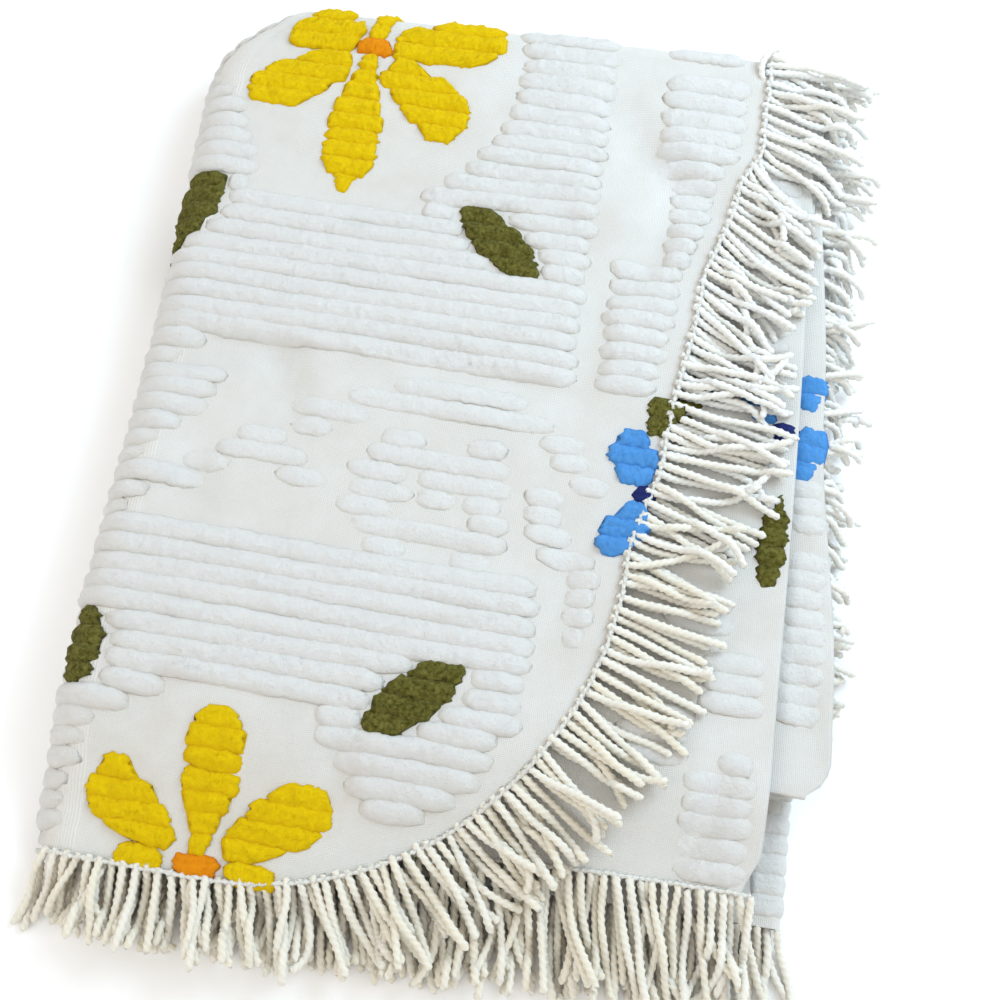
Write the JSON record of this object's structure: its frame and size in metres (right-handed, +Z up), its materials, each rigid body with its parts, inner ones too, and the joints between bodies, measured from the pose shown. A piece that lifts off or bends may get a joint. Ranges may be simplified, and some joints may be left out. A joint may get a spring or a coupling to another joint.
{
  "type": "folded chenille bedspread",
  "caption": "Tufted chenille bedspread with a twisted cord fringe and rounded foot corners, folded into a flat bundle that rests on a surface.",
  "frame": {"origin": "on the surface the bundle rests on, under the middle of its outline with the fringe", "axes": "+Z up from the resting surface, +Y from the fringed front towards the back fold, along the bundle's longest side; +X from the left fold towards the fringed right side, along the tufted rows"},
  "size_m": [0.5426, 0.7446, 0.0646],
  "materials": {
    "chenille": "white cotton muslin with white cut-pile rows, and yellow, orange, olive, sky blue and navy tufted motifs in the visual",
    "fringe_cord": "off-white two-ply twisted cotton cord"
  },
  "bodies": {
    "root": {"bedspread_cloth": "chenille", "fringe_top": "fringe_cord", "fringe_right": "fringe_cord", "fringe_front": "fringe_cord", "fringe_base": "fringe_cord"}
  },
  "joints": []
}
